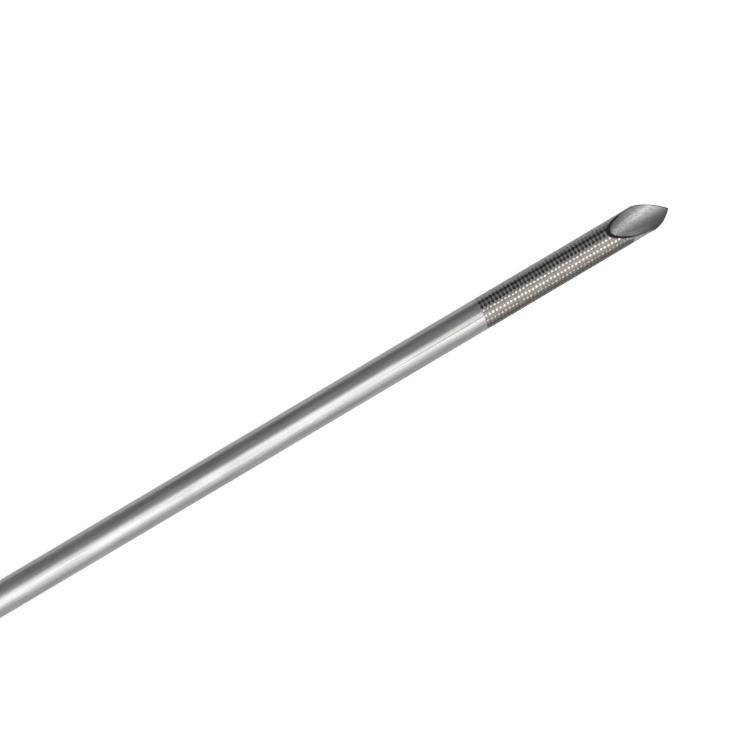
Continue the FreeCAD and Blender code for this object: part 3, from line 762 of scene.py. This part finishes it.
class NEEDLE_OT_stylet(bpy.types.Operator):
    """Finish the stylet wire, its insert, grip, disc and locking collar"""

    bl_idname = "needle.stylet"
    bl_label = "Stylet"

    def execute(self, context):
        finish = context.scene.needle_finish
        pale = finish.collar_color
        grip = moulded("grip_plastic", finish.grip_color, shade=0.85, roughness=0.3, texture=0.5)
        insert = moulded("insert_plastic", pale, shade=0.94, roughness=0.22, soft=0.2)
        dress("stylet_rod", wire_steel(finish))
        dress("stylet_grip", grip)
        dress("gauge_disc", moulded("disc_plastic", pale, shade=0.95, roughness=0.2))
        dress("stylet_insert", insert)
        dress("lock_collar", insert)
        dress("stylet_bond", bpy.data.materials["cured_adhesive"])
        return {"FINISHED"}


class NEEDLE_OT_depth_stop(bpy.types.Operator):
    """Finish the sliding depth stop, its soft sleeve and thumb screw"""

    bl_idname = "needle.depth_stop"
    bl_label = "Depth stop"

    def execute(self, context):
        finish = context.scene.needle_finish
        stop = moulded("stop_plastic", finish.stop_color, shade=0.85, roughness=0.35, texture=0.8)
        bush = moulded("bush_rubber", finish.bush_color, shade=0.9, roughness=0.5, soft=0.4)
        dress("stop_body", stop)
        dress("stop_bush", bush)
        dress("stop_screw", bpy.data.materials["wire_steel"])
        return {"FINISHED"}


class NEEDLE_OT_stage(bpy.types.Operator):
    """Set up the floor, the lights and the photograph's camera"""

    bl_idname = "needle.stage"
    bl_label = "Stage"

    def execute(self, context):
        studio = context.scene.needle_studio
        mesh = bpy.data.meshes.new("floor")
        corners = [(x * FLOOR_HALF, y * FLOOR_HALF, 0.0) for x, y in ((-1, -1), (1, -1), (1, 1), (-1, 1))]
        mesh.from_pydata(corners, [], [(0, 1, 2, 3)])
        mesh.materials.append(floor_white(studio.floor_glow))
        floor = bpy.data.objects.new("floor", mesh)
        context.scene.collection.objects.link(floor)
        studio_world(studio.light_level)
        tip = Vector((TUBE_HIGH.x, 0.0, TUBE_LOW.z))
        self.add_camera(context, studio, tip)
        context.scene.view_settings.view_transform = "Standard"
        return {"FINISHED"}

    def add_camera(self, context, studio, tip):
        """A long lens at the photograph's angle, with the tip at its place in the picture."""
        rise = studio.elevation
        turn = studio.heading
        back = Vector((-math.sin(turn) * math.cos(rise), -math.cos(turn) * math.cos(rise), math.sin(rise)))
        right = Vector((math.cos(turn), -math.sin(turn), 0.0))
        up = back.cross(right)
        scale = studio.width / PHOTO_SIDE
        across = (studio.tip_pixel[0] - PHOTO_SIDE / 2) * scale
        above = (PHOTO_SIDE / 2 - studio.tip_pixel[1]) * scale
        distance = studio.width * studio.lens / SENSOR_MM
        data = bpy.data.cameras.new("photo_camera")
        data.lens = studio.lens
        data.sensor_width = SENSOR_MM
        data.clip_start = CLIP_START
        data.clip_end = CLIP_END
        camera = bpy.data.objects.new("photo_camera", data)
        context.scene.collection.objects.link(camera)
        place = tip - right * across - up * above + back * distance
        camera.matrix_world = Matrix.Translation(place) @ Matrix((right, up, back)).transposed().to_4x4()
        context.scene.camera = camera


class NEEDLE_PT_panel(bpy.types.Panel):
    """Steps that build the needle's looks"""

    bl_label = "Echogenic needle"
    bl_idname = "NEEDLE_PT_panel"
    bl_space_type = "VIEW_3D"
    bl_region_type = "UI"
    bl_category = "Needle"

    def draw(self, context):
        for step in STEPS:
            self.layout.operator(step.bl_idname)


STEPS = (NEEDLE_OT_stage, NEEDLE_OT_cannula, NEEDLE_OT_hub, NEEDLE_OT_stylet, NEEDLE_OT_depth_stop)
GROUPS = {"needle_tube": NeedleTube, "needle_finish": NeedleFinish, "needle_studio": NeedleStudio}


def register():
    for group in GROUPS.values():
        bpy.utils.register_class(group)
    for name, group in GROUPS.items():
        setattr(bpy.types.Scene, name, PointerProperty(type=group))
    for step in STEPS:
        bpy.utils.register_class(step)
    bpy.utils.register_class(NEEDLE_PT_panel)


def unregister():
    bpy.utils.unregister_class(NEEDLE_PT_panel)
    for step in reversed(STEPS):
        bpy.utils.unregister_class(step)
    for name in GROUPS:
        delattr(bpy.types.Scene, name)
    for group in GROUPS.values():
        bpy.utils.unregister_class(group)


def main():
    """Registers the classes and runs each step."""
    register()
    bpy.ops.needle.stage()
    bpy.ops.needle.cannula()
    bpy.ops.needle.hub()
    bpy.ops.needle.stylet()
    bpy.ops.needle.depth_stop()


if __name__ == "__main__":
    main()
